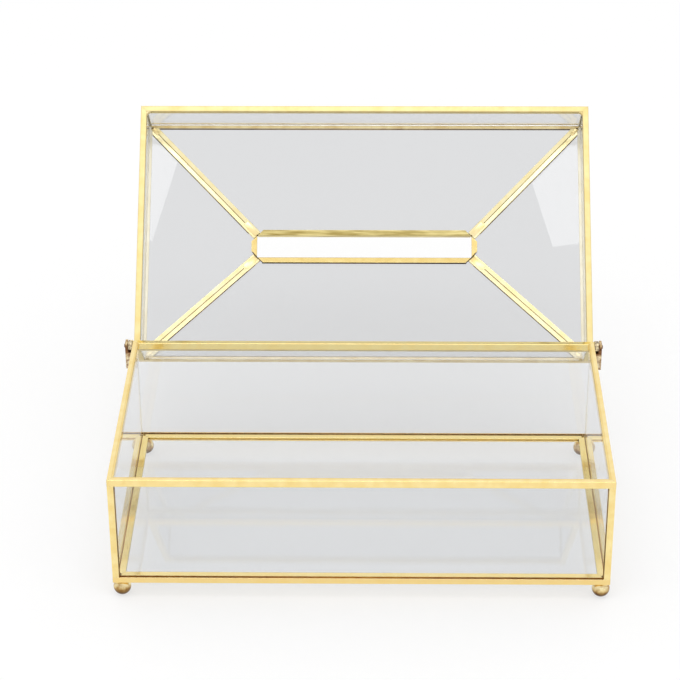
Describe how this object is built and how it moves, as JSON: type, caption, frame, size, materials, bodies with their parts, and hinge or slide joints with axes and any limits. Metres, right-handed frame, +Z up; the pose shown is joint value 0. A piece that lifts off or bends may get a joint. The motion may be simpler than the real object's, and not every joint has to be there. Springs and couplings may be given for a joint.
{
  "type": "glass tissue box",
  "caption": "Rectangular tissue box of clear glass panes in polished brass strip, on ball feet, with a hinged hipped lid that has a long slot.",
  "frame": {"origin": "middle of the base's footprint, on the surface that the feet stand on", "axes": "+X to the right along the box's length, +Y to the back where the hinges are, +Z up"},
  "size_m": [0.2596, 0.2589, 0.1657],
  "materials": {
    "base_brass": "polished folded strip",
    "lid_brass": "polished folded strip",
    "foot_brass": "polished ball",
    "hinge_brass": "polished plate and pin",
    "wall_glass": "clear sheet glass with a faint grey tint",
    "floor_glass": "clear sheet glass with a faint grey tint",
    "lid_glass": "clear sheet glass with a faint grey tint"
  },
  "bodies": {
    "base": {"front_wall_pane": "wall_glass", "right_wall_pane": "wall_glass", "back_wall_pane": "wall_glass", "left_wall_pane": "wall_glass", "floor_pane": "floor_glass", "front_rim_rail": "base_brass", "right_rim_rail": "base_brass", "back_rim_rail": "base_brass", "left_rim_rail": "base_brass", "front_bottom_rail": "base_brass", "right_bottom_rail": "base_brass", "back_bottom_rail": "base_brass", "left_bottom_rail": "base_brass", "front_left_post": "base_brass", "front_right_post": "base_brass", "back_right_post": "base_brass", "back_left_post": "base_brass", "front_left_foot": "foot_brass", "front_right_foot": "foot_brass", "back_right_foot": "foot_brass", "back_left_foot": "foot_brass", "left_hinge_bracket": "hinge_brass", "right_hinge_bracket": "hinge_brass", "left_hinge_pin": "hinge_brass", "right_hinge_pin": "hinge_brass"},
    "lid": {"lid_front_skirt_pane": "lid_glass", "lid_right_skirt_pane": "lid_glass", "lid_back_skirt_pane": "lid_glass", "lid_left_skirt_pane": "lid_glass", "lid_front_roof_pane": "lid_glass", "lid_right_roof_pane": "lid_glass", "lid_back_roof_pane": "lid_glass", "lid_left_roof_pane": "lid_glass", "lid_front_rail": "lid_brass", "lid_right_rail": "lid_brass", "lid_back_rail": "lid_brass", "lid_left_rail": "lid_brass", "lid_front_eave_strip": "lid_brass", "lid_right_eave_strip": "lid_brass", "lid_back_eave_strip": "lid_brass", "lid_left_eave_strip": "lid_brass", "lid_front_slot_strip": "lid_brass", "lid_right_slot_strip": "lid_brass", "lid_back_slot_strip": "lid_brass", "lid_left_slot_strip": "lid_brass", "lid_front_left_post": "lid_brass", "lid_front_right_post": "lid_brass", "lid_back_right_post": "lid_brass", "lid_back_left_post": "lid_brass", "lid_front_left_hip_strip": "lid_brass", "lid_front_right_hip_strip": "lid_brass", "lid_back_right_hip_strip": "lid_brass", "lid_back_left_hip_strip": "lid_brass", "left_hinge_lug": "hinge_brass", "right_hinge_lug": "hinge_brass"}
  },
  "joints": [
    {"name": "lid_hinge", "type": "hinge", "parent": "base", "child": "lid", "pos_m": [0, 0.0692, 0.06725], "axis": [1, 0, 0], "range_deg": [0, 133.5]}
  ]
}
